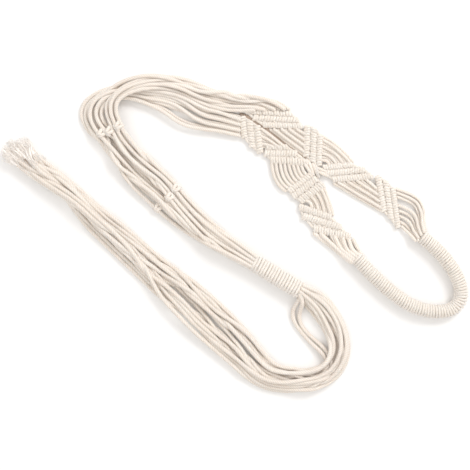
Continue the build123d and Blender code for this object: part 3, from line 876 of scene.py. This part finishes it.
for name, rows in BAND_ROWS.items():
    yarn = Yarn()
    spacing = [ridge_spacing(rows[0], rows[1]), ridge_spacing(rows[1], rows[2])]
    widths = [spacing[0], (spacing[0] + spacing[1]) / 2, spacing[1]]
    for index, (start, end) in enumerate(rows):
        hitch_ridge(yarn, start, end, widths[index] / 2 + 0.25 * MM, 1 if index % 2 else -1)
    for first, second in zip(rows, rows[1:]):
        for begin, finish in zip(places(first, CORDS), places(second, CORDS)):
            link = np.linspace(flat_point(begin, 2.3), flat_point(finish, 2.3), 8)
            yarn.tube(link, 1.4 * MM, sides=12, shade=0.05)
    yarn.piece(f"{name}_hitches", "planter", [name])


def wandered(line, at, radius, reach, rise, scale, fade):
    """The line moved a little from side to side and up, not at its ends."""
    calm = np.clip(np.minimum(at, at[-1] - at) / fade, 0, 1)
    moved = line + level_sides(line) * (slow_noise(at[-1], scale)(at) * reach * calm)[:, None]
    moved[:, 2] += np.abs(slow_noise(at[-1], scale)(at)) * rise * calm
    moved[:, 2] = np.maximum(moved[:, 2], radius)
    return moved


KNOT_REACH = 2.0         # millimetres that a held cord reaches into the knots at its ends


def strap_cords(yarn, lines, middles, radius, count=CORDS):
    """Cords side by side between two knotted bands, let out into the knots that hold them."""
    for route in side_by_side(lines, HELD_D, middles, count=count):
        route = moved_end(route, -KNOT_REACH)
        line, at = evenly(nurbs_line(metres(route)), STEP)
        line = wandered(line, at, radius, 0.25 * MM, 0.2 * MM, 14 * MM, 8 * MM)
        yarn.tube(line, radius, lay=7.5 * MM, taper=0.8 * MM, shade=rng.uniform(0, 0.08))


GAP_R = 1.5 * MM
GAP_RADII = {"lower_gap_3": 1.68 * MM}       # where the cords lie looser
for name, lines in GAP_LINES.items():
    yarn = Yarn()
    strap_cords(yarn, lines, [ROW_Z] * len(lines), GAP_RADII.get(name, GAP_R),
                GAP_CORDS.get(name, CORDS))
    yarn.piece(f"{name}_cords", "planter", [name])

# Cords at the bottom of the seam between the two straps, darkened as painted shade with a darker copy of the
# cotton
yarn = Yarn()
for shift in (-0.9, 0.9):
    line = nurbs_line([flat_point((x + 0.75 * shift, y + 0.65 * shift), 1.1) for x, y in SEAM])
    yarn.tube(line, 1.3 * MM, squeeze=0.8, taper=3.0 * MM, shade=0.5)
yarn.piece("seam_cords", "planter", material=cotton_shade)

# The tie between the two straps
yarn = Yarn()
for begin, finish in TIE_CORDS:
    middle = between(begin, finish, 0.5)
    line = nurbs_line([flat_point(begin, 2.0), flat_point(middle, 5.4), flat_point(finish, 2.0)])
    yarn.tube(line, GAP_R, taper=1.0 * MM, shade=rng.uniform(0, 0.08))
yarn.piece("strap_tie", "planter", ["strap_join"])

# The fans, between the straps and the loop, which folds; here they are built once and ride on no body
FAN_RADII = {"lower_fan": 1.95 * MM, "upper_fan": 1.45 * MM}
for name, lines in FAN_LINES.items():
    yarn = Yarn()
    middles = [ROW_Z] * (len(lines) - 1) + [LOOP_Z]
    strap_cords(yarn, lines, middles, FAN_RADII[name])
    fan = yarn.piece(f"{name}_cords", None, [f"{name}_loop_side", f"{name}_strap_side"])
    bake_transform(fan)


# The wrapped loop

loop_line, loop_at = evenly(nurbs_line(metres([(*point, LOOP_Z) for point in LOOP_ROUTE])), 0.5 * MM)


def coil(yarn, line, at, pitch, reach_flat, reach_up, radius, corner=1.0, steps=30):
    """A cord wound round a line, its turns against each other. A corner under 1 squares them."""
    flat = level_sides(line)
    rise = np.cross(headings(line), flat)
    spot = np.linspace(0, at[-1], int(at[-1] / pitch * steps))
    slip = slow_noise(at[-1], pitch * 1.7)(spot) * pitch * 0.10
    angle = spot / pitch * math.tau
    level = slow_noise(at[-1], pitch * 1.3)(spot) * 0.10 * MM
    spot = np.clip(spot + slip * np.clip(np.minimum(spot, at[-1] - spot) / pitch, 0, 1), 0, at[-1])
    here = [np.stack([np.interp(spot, at, field[:, axis]) for axis in range(3)], 1)
            for field in (line, flat, rise)]
    across = np.cos(angle)
    over = np.sin(angle)
    if corner != 1.0:
        across = np.sign(across) * np.abs(across) ** corner
        over = np.sign(over) * np.abs(over) ** corner
    path = (here[0] + here[1] * (across * (reach_flat + level))[:, None]
            + here[2] * (over * (reach_up + level))[:, None])
    yarn.tube(path, radius, strands=3, lay=7 * MM, sides=9, depth=0.15, taper=0.8 * MM)


yarn = Yarn()
coil(yarn, loop_line, loop_at, 2.25 * MM, 4.8 * MM, 4.75 * MM, 1.32 * MM)
yarn.piece("loop_wrapping", "hanging_loop", ["loop_wrap"])

yarn = Yarn()
core_line = evenly(loop_line, 2.0 * MM)[0]
along, side, up = frames(core_line)
for cord in range(CORDS):
    ring = 0.0 if cord == CORDS - 1 else 2.6 * MM
    turn = cord * math.tau / (CORDS - 1)
    path = core_line + side * ring * math.cos(turn) + up * ring * math.sin(turn)
    yarn.tube(path, 1.2 * MM, sides=12, strands=3)
yarn.piece("loop_core_cords", "hanging_loop", ["loop_core"])


# The gathering wrap

WRAP_Z = 6.8             # middle of the wrap
WRAP_HALF = 22.3 * MM    # half its length, between the middles of its last turns
mouth = flat_point(between(*LOWER_CRADLE[-1][:2], 0.5), WRAP_Z)
tail = flat_point(between(*LOWER_TASSEL[0][:2], 0.5), WRAP_Z)
wrap_axis = unit(tail - mouth)
wrap_middle = (mouth + tail) / 2
wrap_ends = (wrap_middle - wrap_axis * WRAP_HALF, wrap_middle + wrap_axis * WRAP_HALF)
wrap_line, wrap_at = evenly(np.linspace(*wrap_ends, 40), 0.5 * MM)
yarn = Yarn()
coil(yarn, wrap_line, wrap_at, 2.62 * MM, 6.3 * MM, 5.35 * MM, 1.42 * MM, corner=0.8, steps=40)
yarn.piece("gathering_wrap_cord", "planter", ["gathering_wrap"])

yarn = Yarn()
across = np.cross(wrap_axis, UP)
run = np.linspace(wrap_ends[0] - wrap_axis * 1.0 * MM, wrap_ends[1] + wrap_axis * 1.0 * MM, 30)
for level in range(2):
    for cord in range(CORDS):
        shift = (across * (cord - 3.5) * 1.4 * MM
                 + UP * (2 * level + cord % 2 - 1.5) * 2.3 * MM)
        yarn.tube(run + shift, 1.3 * MM, sides=12, strands=3)
yarn.piece("gathered_inner_cords", "planter", ["gathered_cords"])


# Square knots

KNOT_HALF = 3.1 * MM     # half a square knot's width across its cords


def top_of(lays, place, reach):
    """The height of the highest settled cord near a place."""
    tops = [0.0]
    for lay in lays:
        line = lay.line()
        near = np.linalg.norm(line[:, :2] - place[:2], axis=1) < reach
        if near.any():
            tops.append(line[near, 2].max() + lay.radius)
    return max(tops)


def square_knot(yarn, start, end):
    """A square knot on the cords: two half knots, their cords crossing over the others."""
    start, end = flat_point(start, 0), flat_point(end, 0)
    middle = (start + end) / 2
    middle[2] = top_of(cradle, middle, 3.0 * MM) - 0.9 * MM
    run = unit(end - start)
    over = np.cross(run, UP)
    spot = np.linspace(-1, 1, 26)
    for level, lean in ((-1, 1), (1, -1)):
        path = (middle + over * (spot * KNOT_HALF)[:, None]
                + run * (level * 1.5 * MM + lean * spot * 0.8 * MM)[:, None]
                + UP * (0.7 * MM * (1 - spot**2) - 2.4 * MM * np.abs(spot) ** 4)[:, None])
        yarn.tube(path, 1.6 * MM, lay=7 * MM, taper=1.2 * MM, shade=0.02)
    for edge in (-1, 1):
        path = (middle + over * (edge * KNOT_HALF * (0.9 - 0.3 * spot**2))[:, None]
                + run * (spot * 3.4 * MM)[:, None]
                + UP * (-0.5 * MM - 1.9 * MM * spot**2)[:, None])
        yarn.tube(path, 1.45 * MM, lay=7 * MM, taper=1.2 * MM, shade=0.02)


for name, crossings in SQUARE_KNOTS.items():
    yarn = Yarn()
    for start, end in crossings:
        square_knot(yarn, start, end)
    yarn.piece(f"{name}_tied", "planter", [name])


# Floor and light

FLOOR_HALF = 9.0
floor_data = bpy.data.meshes.new("floor")
floor_corners = [(x * FLOOR_HALF, y * FLOOR_HALF, 0) for x, y in ((-1, -1), (1, -1), (1, 1), (-1, 1))]
floor_data.from_pydata(floor_corners, [], [(0, 1, 2, 3)])
floor = bpy.data.objects.new("floor", floor_data)
bpy.context.scene.collection.objects.link(floor)
paper = bpy.data.materials.new("paper")
paper.use_nodes = True
set_inputs(paper.node_tree.nodes["Principled BSDF"],
           {"Base Color": (0.93, 0.925, 0.92, 1), "Roughness": 0.95, "Specular IOR Level": 0.1})
floor_data.materials.append(paper)

world = bpy.data.worlds.new("world")
bpy.context.scene.world = world
world.use_nodes = True
set_inputs(world.node_tree.nodes["Background"], {"Color": (1.0, 0.982, 0.962, 1), "Strength": 0.89})


def area_light(name, place, size, watts, tint):
    """A round light that shines on the origin."""
    data = bpy.data.lights.new(name, "AREA")
    data.shape = "DISK"
    data.size = size
    data.energy = watts
    data.color = tint
    light = bpy.data.objects.new(name, data)
    light.location = place
    light.rotation_euler = (-Vector(place)).to_track_quat("-Z", "Y").to_euler()
    bpy.context.scene.collection.objects.link(light)


area_light("key", (0.85, 0.95, 1.15), 0.8, 13.0, (0.985, 0.99, 1.0))
area_light("fill", (-0.9, -0.6, 1.5), 1.6, 4.0, (0.97, 0.985, 1.0))
bpy.context.scene.view_settings.view_transform = "Standard"
